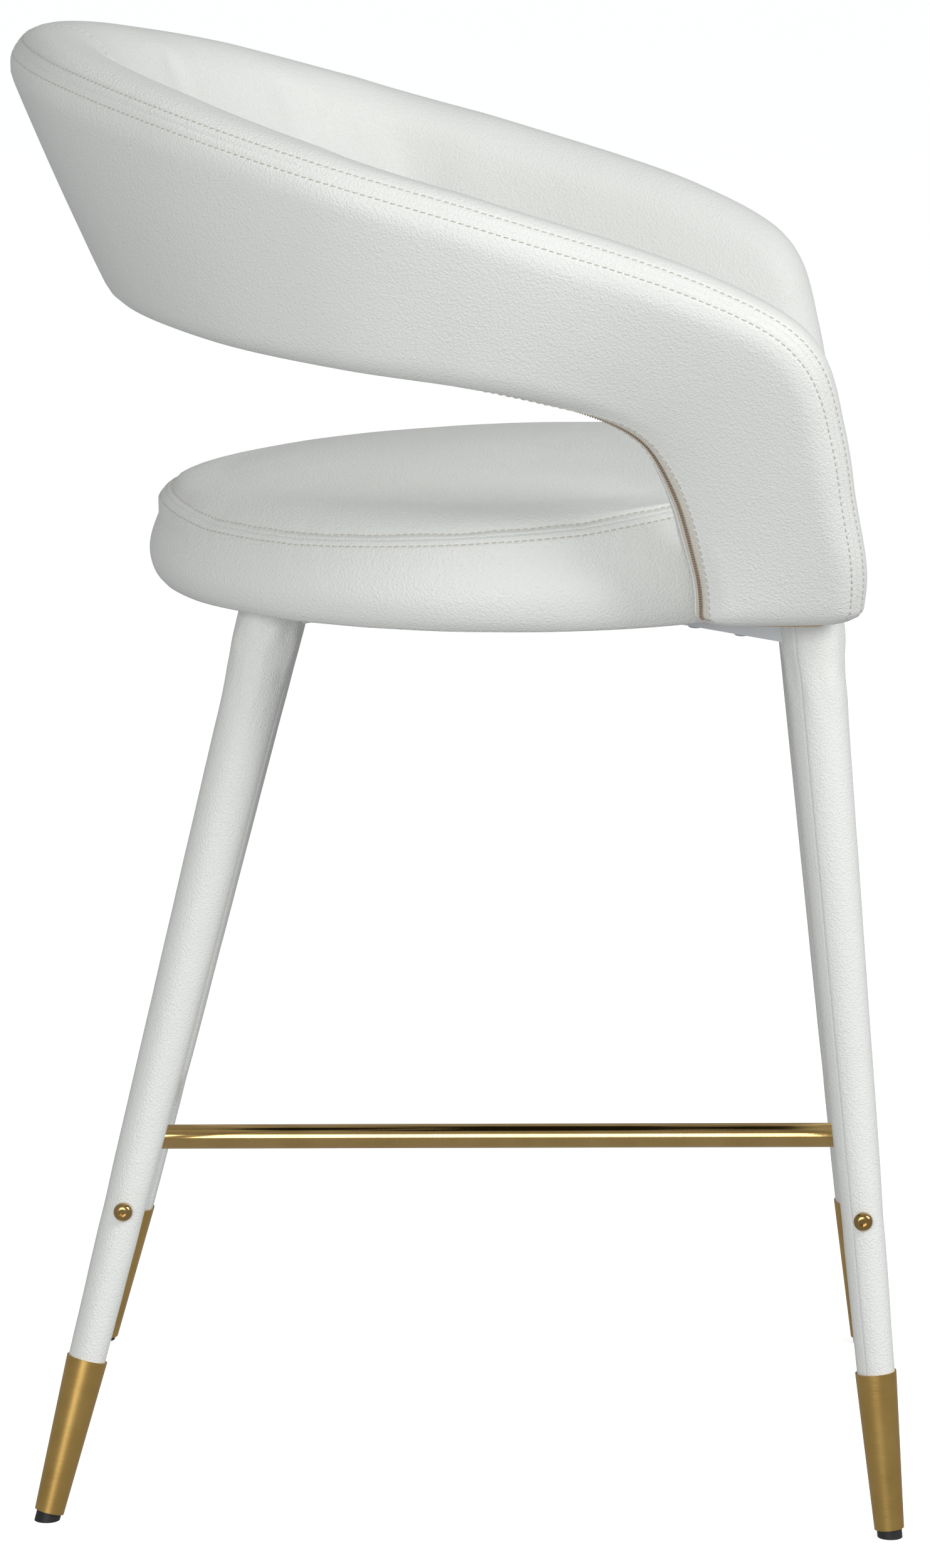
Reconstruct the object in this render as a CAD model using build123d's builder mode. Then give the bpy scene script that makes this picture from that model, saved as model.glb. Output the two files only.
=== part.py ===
"""Counter stool: round seat, open wrap-around back and arm band, four splayed legs, H footrest.

Frame: +Z up, front of the stool towards -Y, left and right along X, floor at z = 0. Millimetres.
"""
import math
import os

from build123d import *

os.makedirs("parts", exist_ok=True)

# ---------------------------------------------------------------- driving dimensions
# seat
SEAT_CENTRE_Y = -26.0
SEAT_RADIUS = 227.0
SEAT_FRONT_Y = -244.0           # middle of the gently bowed front edge
SEAT_FRONT_HALF_WIDTH = 186.0
FRONT_BOW = 12.0
BOARD_BOTTOM = 576.0
BOARD_THICKNESS = 15.0
BOARD_TOP = BOARD_BOTTOM + BOARD_THICKNESS
DUST_COVER_THICKNESS = 0.6
UNDERSIDE = BOARD_BOTTOM - DUST_COVER_THICKNESS     # the legs and brackets bear here
BOARD_INSET = 13.0
LIP_BOTTOM = 570.0              # the cover rolls under the edge of the board
LIP_WIDTH = 15.0
LIP_ROUND = 3.0
DUST_COVER_MARGIN = 4.0
CROWN_TOP = 660.0
CROWN_RADIUS = 1290.0
CROWN_APEX_Y = -70.0
CROWN_EDGE_RADIUS = 12.0
EAR_HALF_WIDTH = 218.0          # the board reaches under both arms and carries them
EAR_FRONT_Y = -226.0
EAR_BACK_Y = -162.0

# back and arm band: outer top edge, outer bottom edge and thickness at each station,
# from the middle of the back (x = 0) round the right side and down to the arm's foot
BAND_STATIONS = [
    # top edge (x, y, z)     bottom edge (x, y, z)    thickness
    ((0, 297, 920), (0, 222, 752), 62),
    ((132, 269, 913), (119, 201, 750), 62),
    ((239, 191, 893), (216, 143, 743), 61),
    ((296, 95, 867), (267, 70, 735), 60),
    ((312, 0, 842), (281, 0, 727), 59),
    ((313, -90, 816), (280, -50, 718), 58),
    ((311, -150, 795), (275, -85, 708), 57),
    ((305, -202, 767), (269, -109, 694), 56),
    ((293, -234, 728), (262, -126, 674), 55),
    ((273, -248, 676), (253, -138, 646), 54),
    ((248, -251, 624), (244, -145, 613), 54),
    ((223, -250, 577), (236, -148, 577), 54),
]
BAND_EDGE_RADIUS = 20.0
CORE_THICKNESS = 12.0           # moulded plywood inside the band
CORE_EDGE_INSET = 26.0
ARM_BOLT_SPOTS = ((210.0, -176.0), (207.0, -212.0))
ARM_BOLT_LENGTH = 24.0
ARM_BOLT_HEAD_DEPTH = 4.5
ARM_INSERT_RADIUS = 3.9
ARM_INSERT_LENGTH = 10.0
ZIP_WIDTH = 12.0
ZIP_THICKNESS = 2.8
ZIP_SINK = (0.5, 0.7)            # how far it sits into the pad, across and up
ZIP_FIRST_STATION = 5           # the zip comes round to the corner from this station on

# legs: foot on the floor, and how far the axis moves per millimetre of height
FRONT_FOOT = (211.5, -274.0)
FRONT_SLOPE = (-0.068, 0.0987)
REAR_FOOT = (198.3, 254.3)
REAR_SLOPE = (-0.1364, -0.2449)
WRAP_TOP_RADIUS = 18.7
WRAP_BOTTOM_RADIUS = 11.8
WRAP_THICKNESS = 1.0
TUBE_WALL = 1.5
WRAP_START = 100.0              # distances along a leg, from the floor
FERRULE_START = 5.5
FERRULE_END = 105.5
FERRULE_BOTTOM_RADIUS = 9.3
FERRULE_TOP_RADIUS = 12.9
FERRULE_WALL = 0.8
TUBE_START = 12.0
TUBE_TIP_RADIUS = 8.0
LEG_REFERENCE = 570.0           # where the top radius is given
LEG_LENGTH = 640.0              # trimmed level at the underside of the board
GLIDE_RADIUS = 7.8
GLIDE_STEM_RADIUS = 5.6
GLIDE_STEM_LENGTH = 14.0

# leg brackets: upturned channels that run inwards at 45 degrees
BRACKET_BOTTOM = 560.0
BRACKET_WALL = 2.5
BRACKET_WIDTH = 36.0
BRACKET_START = 8.0             # from the leg's axis
BRACKET_LENGTH = 112.0
BRACKET_BOLT_AT = (58.0, 98.0)
SEAT_BOLT_RADIUS = 3.0
SEAT_BOLT_HEAD_RADIUS = 5.4
SEAT_BOLT_HEAD_HEIGHT = 3.4
WASHER_RADIUS = 6.6
WASHER_THICKNESS = 1.2
T_NUT_RADIUS = 3.9
T_NUT_FLANGE_RADIUS = 9.0
T_NUT_FLANGE = 1.4

# footrest
FOOTREST_AT = 204.5             # along each leg
BAR_RADIUS = 8.0
BAR_WALL = 1.5
WELD_GAP = 0.05
INSERT_REACH = 36.0             # from the leg axis into the bar
FOOT_BOLT_RADIUS = 3.0
FOOT_BOLT_HEAD_RADIUS = 5.9
FOOT_BOLT_HEAD_HEIGHT = 4.2
FOOT_BOLT_SEAT = 1.0            # lets the flat head clear the leaning leg
HEX_KEY = 4.0

CUT = 2000.0                    # larger than anything that is trimmed

UP = (Align.CENTER, Align.CENTER, Align.MIN)
DOWN = (Align.CENTER, Align.CENTER, Align.MAX)
SIDES = {"left": -1, "right": 1}
ENDS = {"front": (FRONT_FOOT, FRONT_SLOPE), "rear": (REAR_FOOT, REAR_SLOPE)}


def save(part, name):
    """Label a finished piece and write it as its own STEP file."""
    part.label = name
    export_step(part, f"parts/{name}.step")


# ---------------------------------------------------------------- band geometry
def band_stations():
    """Every station from the left arm's foot to the right one: (top, bottom, inward, thickness)."""
    right = [(Vector(*top), Vector(*bottom), t) for top, bottom, t in BAND_STATIONS]
    flip = lambda v: Vector(-v.X, v.Y, v.Z)
    left = [(flip(top), flip(bottom), t) for top, bottom, t in right[:0:-1]]
    line = left + right
    middles = [(top + bottom) * 0.5 for top, bottom, _ in line]
    stations = []
    for i, (top, bottom, thickness) in enumerate(line):
        before = middles[max(i - 1, 0)]
        after = middles[min(i + 1, len(line) - 1)]
        inward = (top - bottom).cross(after - before)
        inward = Vector(inward.X, inward.Y, 0).normalized()
        centre = Vector(0, SEAT_CENTRE_Y, 0)
        if inward.dot(centre - Vector(top.X, top.Y, 0)) < 0:
            inward = inward * -1
        stations.append((top, bottom, inward, thickness))
    return stations


def band_plane(top, bottom, inward):
    """Section plane: origin on the bottom edge, local x through the thickness."""
    return Plane(origin=bottom, x_dir=inward, z_dir=inward.cross(top - bottom))


def local_point(plane, point):
    p = plane.to_local_coords(point)
    return (p.X, p.Y)


STATIONS = band_stations()
MIDDLE = len(BAND_STATIONS) - 1

# the outer form of the whole band
with BuildPart() as band_form:
    for top, bottom, inward, thickness in STATIONS:
        plane = band_plane(top, bottom, inward)
        corners = [bottom, bottom + inward * thickness, top + inward * thickness, top]
        with BuildSketch(plane) as section:
            Polygon([local_point(plane, c) for c in corners], align=None)
            fillet(section.vertices(), radius=BAND_EDGE_RADIUS)
    loft()

# moulded plywood core, running in the middle of the band
with BuildPart() as band_core:
    for top, bottom, inward, thickness in STATIONS:
        plane = band_plane(top, bottom, inward)
        rise = (top - bottom).normalized() * CORE_EDGE_INSET
        near = inward * ((thickness - CORE_THICKNESS) / 2)
        far = inward * ((thickness + CORE_THICKNESS) / 2)
        corners = [bottom + rise + near, bottom + rise + far, top - rise + far, top - rise + near]
        with BuildSketch(plane) as section:
            Polygon([local_point(plane, c) for c in corners], align=None)
            fillet(section.vertices(), radius=4)
    loft()
    with Locations((0, 0, BOARD_TOP)):
        Box(CUT, CUT, CUT, align=DOWN, mode=Mode.SUBTRACT)


# ---------------------------------------------------------------- zip along the band's lower edge
def zip_centre(place, thickness):
    """Middle of the zip in the section: under the band, then out to the corner on the arms."""
    corner = BAND_EDGE_RADIUS * (1 - math.sqrt(0.5))
    along = min(max((place - ZIP_FIRST_STATION + 3) / 4, 0.0), 1.0)
    across = thickness / 2 * (1 - along) + corner * along
    return across, corner * along, -45.0 * along


with BuildPart() as cover_zip:
    for index, (top, bottom, inward, thickness) in enumerate(STATIONS):
        plane = band_plane(top, bottom, inward)
        across, up, angle = zip_centre(abs(index - MIDDLE), thickness)
        with BuildSketch(plane) as section:
            with Locations(Location((across + ZIP_SINK[0], up + ZIP_SINK[1]), angle)):
                Rectangle(ZIP_WIDTH, ZIP_THICKNESS)
    loft()

# ---------------------------------------------------------------- seat board
with BuildSketch() as board_outline:
    with Locations((0, SEAT_CENTRE_Y)):
        Circle(SEAT_RADIUS - BOARD_INSET)
    with Locations((0, (EAR_FRONT_Y + EAR_BACK_Y) / 2)):
        RectangleRounded(2 * EAR_HALF_WIDTH, EAR_BACK_Y - EAR_FRONT_Y, 12)

LEGS = {
    f"{end}_{side}": (
        Vector(sign * foot[0], foot[1], 0),
        Vector(sign * slope[0], slope[1], 1).normalized(),
    )
    for end, (foot, slope) in ENDS.items()
    for side, sign in SIDES.items()
}


def leg_top(name):
    """Where a leg's axis meets the underside of the seat."""
    foot, axis = LEGS[name]
    return foot + axis * (UNDERSIDE / axis.Z)


def inward_diagonal(name):
    """Level direction of a leg bracket, from the leg towards the middle of the seat."""
    top = leg_top(name)
    step_x = -math.copysign(math.sqrt(0.5), top.X)
    step_y = -math.copysign(math.sqrt(0.5), top.Y - SEAT_CENTRE_Y)
    return Vector(step_x, step_y, 0)


SEAT_BOLT_SPOTS = [
    leg_top(name) + inward_diagonal(name) * along for name in LEGS for along in BRACKET_BOLT_AT
]
SEAT_BOLT_PLACES = [(spot.X, spot.Y) for spot in SEAT_BOLT_SPOTS]
ARM_BOLT_PLACES = [(sign * x, y) for sign in SIDES.values() for x, y in ARM_BOLT_SPOTS]

with BuildPart() as seat_board:
    with BuildSketch(Plane.XY.offset(BOARD_BOTTOM)):
        add(board_outline.sketch)
    extrude(amount=BOARD_THICKNESS)
    with Locations([(x, y, BOARD_TOP) for x, y in SEAT_BOLT_PLACES]):
        CounterBoreHole(T_NUT_RADIUS, T_NUT_FLANGE_RADIUS, T_NUT_FLANGE)
    with Locations([Location((x, y, BOARD_BOTTOM), (180, 0, 0)) for x, y in ARM_BOLT_PLACES]):
        CounterBoreHole(SEAT_BOLT_RADIUS, SEAT_BOLT_HEAD_RADIUS + 0.4, ARM_BOLT_HEAD_DEPTH)
save(seat_board.part, "seat_board")

# ---------------------------------------------------------------- seat cushion and dust cover
with BuildPart() as seat_cushion:
    with BuildSketch(Plane.XY.offset(BOARD_BOTTOM)):
        with BuildLine():
            side = SEAT_FRONT_HALF_WIDTH
            back = SEAT_CENTRE_Y - math.sqrt(SEAT_RADIUS**2 - side**2)
            front = SEAT_FRONT_Y + FRONT_BOW
            ThreePointArc((side, back), (0, SEAT_CENTRE_Y + SEAT_RADIUS), (-side, back))
            Line((-side, back), (-side, front))
            ThreePointArc((-side, front), (0, SEAT_FRONT_Y), (side, front))
            Line((side, front), (side, back))
        make_face()
    extrude(amount=CROWN_TOP - BOARD_BOTTOM)
    with Locations((0, CROWN_APEX_Y, CROWN_TOP - CROWN_RADIUS)):
        Sphere(CROWN_RADIUS, mode=Mode.INTERSECT)
    fillet(seat_cushion.faces().sort_by(Axis.Z)[-1].edges(), radius=CROWN_EDGE_RADIUS)
    # the cover rolls under the edge of the board, behind the arms
    with BuildSketch(Plane.XY.offset(LIP_BOTTOM)):
        with Locations((0, SEAT_CENTRE_Y)):
            Circle(SEAT_RADIUS - LIP_ROUND)
            Circle(SEAT_RADIUS - LIP_WIDTH, mode=Mode.SUBTRACT)
        with Locations((0, EAR_BACK_Y + LIP_WIDTH)):
            Rectangle(CUT, CUT, align=(Align.CENTER, Align.MAX), mode=Mode.SUBTRACT)
    extrude(amount=BOARD_BOTTOM - LIP_BOTTOM)
    add(band_form.part, mode=Mode.SUBTRACT)
    with BuildSketch(Plane.XY.offset(BOARD_BOTTOM)):
        add(board_outline.sketch)
    extrude(amount=BOARD_THICKNESS, mode=Mode.SUBTRACT)
save(seat_cushion.part, "seat_cushion")

with BuildPart() as dust_cover:
    with BuildSketch(Plane.XY.offset(UNDERSIDE)):
        with Locations((0, SEAT_CENTRE_Y)):
            Circle(SEAT_RADIUS - LIP_WIDTH - DUST_COVER_MARGIN)
        with Locations((0, (EAR_FRONT_Y + EAR_BACK_Y) / 2)):
            RectangleRounded(2 * EAR_HALF_WIDTH - 8, EAR_BACK_Y - EAR_FRONT_Y - 6, 9)
        with Locations(SEAT_BOLT_PLACES):
            Circle(SEAT_BOLT_RADIUS + 0.4, mode=Mode.SUBTRACT)
    extrude(amount=DUST_COVER_THICKNESS)
save(dust_cover.part, "dust_cover")

# ---------------------------------------------------------------- band pieces
with BuildPart() as back_arm_core:
    add(band_core.part)
    with Locations([(x, y, BOARD_TOP) for x, y in ARM_BOLT_PLACES]):
        Cylinder(ARM_INSERT_RADIUS, ARM_BOLT_LENGTH, align=UP, mode=Mode.SUBTRACT)
save(back_arm_core.part, "back_arm_core")

with BuildPart() as back_arm_pad:
    add(band_form.part)
    add(band_core.part, mode=Mode.SUBTRACT)
    add(cover_zip.part, mode=Mode.SUBTRACT)
    with BuildSketch(Plane.XY.offset(BOARD_BOTTOM)):
        add(board_outline.sketch)
    extrude(amount=BOARD_THICKNESS, mode=Mode.SUBTRACT)
    with Locations([(x, y, BOARD_TOP) for x, y in ARM_BOLT_PLACES]):
        Cylinder(ARM_INSERT_RADIUS, ARM_BOLT_LENGTH, align=UP, mode=Mode.SUBTRACT)
save(back_arm_pad.part, "back_arm_pad")
save(cover_zip.part, "cover_zip")

with BuildPart() as arm_inserts:
    with Locations([(x, y, BOARD_TOP) for x, y in ARM_BOLT_PLACES]):
        Cylinder(ARM_INSERT_RADIUS, ARM_INSERT_LENGTH, align=UP)
        Cylinder(SEAT_BOLT_RADIUS, ARM_INSERT_LENGTH, align=UP, mode=Mode.SUBTRACT)
save(arm_inserts.part, "arm_inserts")

# ---------------------------------------------------------------- fasteners
def button_head_bolt(head_radius, head_height, radius, length, socket):
    """Dome-head bolt with a hex socket: head above z = 0, shank below."""
    with BuildPart() as bolt:
        Cylinder(head_radius, head_height, align=UP)
        fillet(bolt.faces().sort_by(Axis.Z)[-1].edges(), radius=head_height * 0.8)
        with BuildSketch(Plane.XY.offset(head_height)):
            RegularPolygon(socket / 2, 6, major_radius=False)
        extrude(amount=-head_height * 0.6, mode=Mode.SUBTRACT)
        Cylinder(radius, length, align=DOWN)
    return bolt.part


SEAT_BOLT = button_head_bolt(
    SEAT_BOLT_HEAD_RADIUS,
    SEAT_BOLT_HEAD_HEIGHT,
    SEAT_BOLT_RADIUS,
    BOARD_TOP - 1 - BRACKET_BOTTOM + WASHER_THICKNESS,
    HEX_KEY,
)
ARM_BOLT = button_head_bolt(
    SEAT_BOLT_HEAD_RADIUS, SEAT_BOLT_HEAD_HEIGHT, SEAT_BOLT_RADIUS, ARM_BOLT_LENGTH - 5, HEX_KEY
)

with BuildPart() as seat_bolts:
    for x, y in SEAT_BOLT_PLACES:
        with Locations(Location((x, y, BRACKET_BOTTOM - WASHER_THICKNESS), (180, 0, 0))):
            add(SEAT_BOLT)
save(seat_bolts.part, "seat_bolts")

with BuildPart() as seat_washers:
    with Locations([(x, y, BRACKET_BOTTOM) for x, y in SEAT_BOLT_PLACES]):
        Cylinder(WASHER_RADIUS, WASHER_THICKNESS, align=DOWN)
        Cylinder(SEAT_BOLT_RADIUS, WASHER_THICKNESS, align=DOWN, mode=Mode.SUBTRACT)
save(seat_washers.part, "seat_washers")

with BuildPart() as t_nuts:
    with Locations([(x, y, BOARD_TOP) for x, y in SEAT_BOLT_PLACES]):
        Cylinder(T_NUT_FLANGE_RADIUS, T_NUT_FLANGE, align=DOWN)
        Cylinder(T_NUT_RADIUS, BOARD_THICKNESS - 1, align=DOWN)
        Cylinder(SEAT_BOLT_RADIUS, BOARD_THICKNESS, align=DOWN, mode=Mode.SUBTRACT)
save(t_nuts.part, "t_nuts")

with BuildPart() as arm_bolts:
    for x, y in ARM_BOLT_PLACES:
        with Locations(Location((x, y, BOARD_BOTTOM + ARM_BOLT_HEAD_DEPTH), (180, 0, 0))):
            add(ARM_BOLT)
save(arm_bolts.part, "arm_bolts")

# ---------------------------------------------------------------- legs
def wrap_radius(distance):
    """Outer radius of the leather-wrapped leg at a distance along it from the floor."""
    share = (distance - FERRULE_END) / (LEG_REFERENCE - FERRULE_END)
    return WRAP_BOTTOM_RADIUS + share * (WRAP_TOP_RADIUS - WRAP_BOTTOM_RADIUS)


def along_leg(name, distance):
    """Placement on a leg's axis, local +Z up the leg."""
    foot, axis = LEGS[name]
    return Plane(origin=foot + axis * distance, z_dir=axis).location


def cone(name, start, end, start_radius, end_radius, mode=Mode.ADD):
    """Add or remove a cone along a leg, inside the part being built."""
    with Locations(along_leg(name, start)):
        Cone(start_radius, end_radius, end - start, align=UP, mode=mode)


def footrest_point(name):
    foot, axis = LEGS[name]
    return foot + axis * FOOTREST_AT


def across(name):
    """Placement at a footrest bolt, local +Z pointing out of the stool along X."""
    point = footrest_point(name)
    return Plane(origin=point, z_dir=(math.copysign(1, point.X), 0, 0)).location


def trim_above_underside():
    with Locations((0, 0, UNDERSIDE)):
        Box(CUT, CUT, CUT, align=UP, mode=Mode.SUBTRACT)


def wrapped_leg_form(name):
    """Solid outer form of a wrapped leg, for coping what meets it."""
    with BuildPart() as form:
        cone(name, WRAP_START, LEG_LENGTH, wrap_radius(WRAP_START), wrap_radius(LEG_LENGTH))
    return form.part


SHARED_TUBE_RADIUS = wrap_radius(WRAP_START) - WRAP_THICKNESS
TOP_TUBE_RADIUS = wrap_radius(LEG_LENGTH) - WRAP_THICKNESS

for name in LEGS:
    with BuildPart() as tube_form:
        cone(name, TUBE_START, WRAP_START, TUBE_TIP_RADIUS, SHARED_TUBE_RADIUS)
        cone(name, WRAP_START, LEG_LENGTH, SHARED_TUBE_RADIUS, TOP_TUBE_RADIUS)

    with BuildPart() as leg_bracket:
        top = leg_top(name)
        channel = Plane(origin=top, x_dir=inward_diagonal(name), z_dir=(0, 0, 1))
        depth = UNDERSIDE - BRACKET_BOTTOM
        with BuildSketch(channel.offset(-depth)):
            with Locations((BRACKET_START, 0)):
                Rectangle(BRACKET_LENGTH, BRACKET_WIDTH, align=(Align.MIN, Align.CENTER))
        extrude(amount=depth)
        corners = leg_bracket.edges().filter_by(Axis.Z).sort_by(Axis(top, inward_diagonal(name)))
        fillet(corners[-2:], radius=10)
        with BuildSketch(channel.offset(-depth + BRACKET_WALL)):
            with Locations((BRACKET_START, 0)):
                Rectangle(
                    BRACKET_LENGTH - 10,
                    BRACKET_WIDTH - 2 * BRACKET_WALL,
                    align=(Align.MIN, Align.CENTER),
                )
        extrude(amount=depth, mode=Mode.SUBTRACT)
        with BuildSketch(channel.offset(-depth)):
            with Locations([(spot, 0) for spot in BRACKET_BOLT_AT]):
                Circle(SEAT_BOLT_RADIUS + 0.3)
        extrude(amount=depth, mode=Mode.SUBTRACT)
        add(tube_form.part, mode=Mode.SUBTRACT)
    save(leg_bracket.part, f"leg_bracket_{name}")

    with BuildPart() as leg_tube:
        add(tube_form.part)
        cone(
            name,
            TUBE_START,
            WRAP_START,
            TUBE_TIP_RADIUS - TUBE_WALL,
            SHARED_TUBE_RADIUS - TUBE_WALL,
            Mode.SUBTRACT,
        )
        cone(
            name,
            WRAP_START,
            LEG_LENGTH,
            SHARED_TUBE_RADIUS - TUBE_WALL,
            TOP_TUBE_RADIUS - TUBE_WALL,
            Mode.SUBTRACT,
        )
        trim_above_underside()
        with Locations(across(name)):
            Cylinder(FOOT_BOLT_RADIUS + 0.1, 4 * WRAP_TOP_RADIUS, mode=Mode.SUBTRACT)
    save(leg_tube.part, f"leg_tube_{name}")

    with BuildPart() as leg_wrap:
        cone(name, WRAP_START, LEG_LENGTH, wrap_radius(WRAP_START), wrap_radius(LEG_LENGTH))
        cone(name, WRAP_START, LEG_LENGTH, SHARED_TUBE_RADIUS, TOP_TUBE_RADIUS, Mode.SUBTRACT)
        trim_above_underside()
        with Locations(across(name)):
            Cylinder(FOOT_BOLT_RADIUS + 0.1, 4 * WRAP_TOP_RADIUS, mode=Mode.SUBTRACT)
        add(leg_bracket.part, mode=Mode.SUBTRACT)
    save(leg_wrap.part, f"leg_wrap_{name}")

    with BuildPart() as ferrule:
        cone(name, FERRULE_START, FERRULE_END, FERRULE_BOTTOM_RADIUS, FERRULE_TOP_RADIUS)
        cone(
            name,
            FERRULE_START + FERRULE_WALL,
            FERRULE_END,
            FERRULE_BOTTOM_RADIUS - FERRULE_WALL,
            FERRULE_TOP_RADIUS - FERRULE_WALL,
            Mode.SUBTRACT,
        )
        with Locations(along_leg(name, FERRULE_START)):
            Cylinder(GLIDE_STEM_RADIUS, FERRULE_WALL, align=UP, mode=Mode.SUBTRACT)
    save(ferrule.part, f"ferrule_{name}")

    with BuildPart() as glide:
        with Locations(along_leg(name, FERRULE_START)):
            Cylinder(GLIDE_RADIUS, 2 * FERRULE_START, align=DOWN)
            Cylinder(GLIDE_STEM_RADIUS, GLIDE_STEM_LENGTH, align=UP)
        Box(CUT, CUT, CUT, align=DOWN, mode=Mode.SUBTRACT)
    save(glide.part, f"glide_{name}")

# ---------------------------------------------------------------- footrest
for end in ENDS:
    left, right = footrest_point(f"{end}_left"), footrest_point(f"{end}_right")
    with BuildPart() as cross_bar:
        with Locations(Plane(origin=(left + right) * 0.5, z_dir=(1, 0, 0)).location):
            Cylinder(BAR_RADIUS, (right - left).length)
            Cylinder(BAR_RADIUS - BAR_WALL, (right - left).length, mode=Mode.SUBTRACT)
        for side in SIDES:
            add(wrapped_leg_form(f"{end}_{side}"), mode=Mode.SUBTRACT)
    save(cross_bar.part, f"footrest_{end}_bar")

front_middle = Vector(0, footrest_point("front_left").Y, footrest_point("front_left").Z)
rear_middle = Vector(0, footrest_point("rear_left").Y, footrest_point("rear_left").Z)
with BuildPart() as footrest_centre_bar:
    run = rear_middle - front_middle
    with Locations(Plane(origin=(front_middle + rear_middle) * 0.5, z_dir=run).location):
        Cylinder(BAR_RADIUS, run.length)
        Cylinder(BAR_RADIUS - BAR_WALL, run.length, mode=Mode.SUBTRACT)
    with Locations([Plane(origin=p, z_dir=(1, 0, 0)).location for p in (front_middle, rear_middle)]):
        Cylinder(BAR_RADIUS + WELD_GAP, 6 * BAR_RADIUS, mode=Mode.SUBTRACT)
save(footrest_centre_bar.part, "footrest_centre_bar")

with BuildPart() as footrest_inserts:
    for name in LEGS:
        with Locations(across(name)):
            Cylinder(BAR_RADIUS - BAR_WALL, INSERT_REACH, align=DOWN)
            Cylinder(FOOT_BOLT_RADIUS, INSERT_REACH, align=DOWN, mode=Mode.SUBTRACT)
        add(wrapped_leg_form(name), mode=Mode.SUBTRACT)
save(footrest_inserts.part, "footrest_inserts")

HEAD_STANDOFF = wrap_radius(FOOTREST_AT) + FOOT_BOLT_SEAT
FOOT_BOLT = button_head_bolt(
    FOOT_BOLT_HEAD_RADIUS,
    FOOT_BOLT_HEAD_HEIGHT,
    FOOT_BOLT_RADIUS,
    HEAD_STANDOFF + INSERT_REACH - 4,
    HEX_KEY,
)
with BuildPart() as footrest_bolts:
    for name in LEGS:
        with Locations(across(name) * Location((0, 0, HEAD_STANDOFF))):
            add(FOOT_BOLT)
save(footrest_bolts.part, "footrest_bolts")
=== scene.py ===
"""Looks of the counter stool: leather band and seat, wrapped legs, gold ferrules and footrest."""

import math

import bmesh
import bpy
import numpy as np
from mathutils import Matrix, Vector, noise


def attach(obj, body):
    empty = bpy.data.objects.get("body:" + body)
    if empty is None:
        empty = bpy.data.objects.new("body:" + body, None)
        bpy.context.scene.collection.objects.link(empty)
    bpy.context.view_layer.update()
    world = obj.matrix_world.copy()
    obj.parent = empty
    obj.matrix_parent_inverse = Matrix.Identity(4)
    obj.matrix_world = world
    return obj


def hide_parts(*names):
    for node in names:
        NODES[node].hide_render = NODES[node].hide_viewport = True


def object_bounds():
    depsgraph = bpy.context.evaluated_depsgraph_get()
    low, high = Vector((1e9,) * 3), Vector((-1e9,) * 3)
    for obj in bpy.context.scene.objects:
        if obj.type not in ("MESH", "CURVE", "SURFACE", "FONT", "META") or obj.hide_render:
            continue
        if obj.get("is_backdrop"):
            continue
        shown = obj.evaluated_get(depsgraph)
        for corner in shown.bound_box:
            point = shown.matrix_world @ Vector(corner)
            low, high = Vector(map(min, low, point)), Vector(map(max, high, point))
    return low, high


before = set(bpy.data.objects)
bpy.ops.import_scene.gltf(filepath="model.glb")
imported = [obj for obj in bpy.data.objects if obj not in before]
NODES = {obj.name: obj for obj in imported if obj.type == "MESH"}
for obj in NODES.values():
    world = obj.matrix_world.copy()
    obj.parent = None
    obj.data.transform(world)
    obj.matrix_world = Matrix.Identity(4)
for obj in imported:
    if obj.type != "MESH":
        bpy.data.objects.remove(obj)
CAD_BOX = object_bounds()
BODY = "root"
MM = 0.001

# ---------------------------------------------------------------- dimensions, millimetres
# the band's stations from the middle of the back to the right arm's foot:
# outer top edge, outer bottom edge, thickness
BAND_STATIONS = [
    ((0, 297, 920), (0, 222, 752), 62),
    ((132, 269, 913), (119, 201, 750), 62),
    ((239, 191, 893), (216, 143, 743), 61),
    ((296, 95, 867), (267, 70, 735), 60),
    ((312, 0, 842), (281, 0, 727), 59),
    ((313, -90, 816), (280, -50, 718), 58),
    ((311, -150, 795), (275, -85, 708), 57),
    ((305, -202, 767), (269, -109, 694), 56),
    ((293, -234, 728), (262, -126, 674), 55),
    ((273, -248, 676), (253, -138, 646), 54),
    ((248, -251, 624), (244, -145, 613), 54),
    ((223, -250, 577), (236, -148, 577), 54),
]
FRONT_TURN = (6.9, 10.6)         # stations where an arm turns down
FRONT_EASE = 0.40               # how far its front face draws back towards the inside there
ZIP_TURN = (4.0, 7.0)           # stations between which the zip comes round to the corner
ZIP_REACH = 0.8                 # how near it comes to the corner's middle
# corner roundings: outer bottom, inner bottom, inner top, outer top
BAND_ROUNDS = (19.0, 24.0, 34.0, 21.0)
BAND_END_ROUND = 9.0
SEAM_ROW = 5.6                  # a row of stitches from its seam
PANEL_CROWN = 1.5               # how far the panels swell between the seams

SEAT_CENTRE = (0.0, -26.0)
SEAT_RADIUS = 226.5
SEAT_FRONT_Y = -244.0
SEAT_FRONT_HALF_WIDTH = 184.0
SEAT_CORNER_Y = -158.0          # where the round outline turns straight, between the arms
SEAT_FRONT_BOW = 12.0
CROWN_TOP = 660.0
CROWN_RADIUS = 1290.0
CROWN_APEX_Y = -70.0
SEAT_SEAM = 10.0                # distance of the seam inside the outline
SEAT_SHOULDER = 46.0
CALM_MIDDLE = 0.55              # share of the crown over which the simulated shape fades in
SEAM_FALL = (0.62, -0.785)      # direction of the surface across the seat's seam: outwards, up
# height of the seat's seam at places from front to back
SEAT_SEAM_HEIGHTS = ((-250, 645), (-130, 642), (-78, 634), (0, 628), (96, 622), (155, 622), (200, 629))
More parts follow.
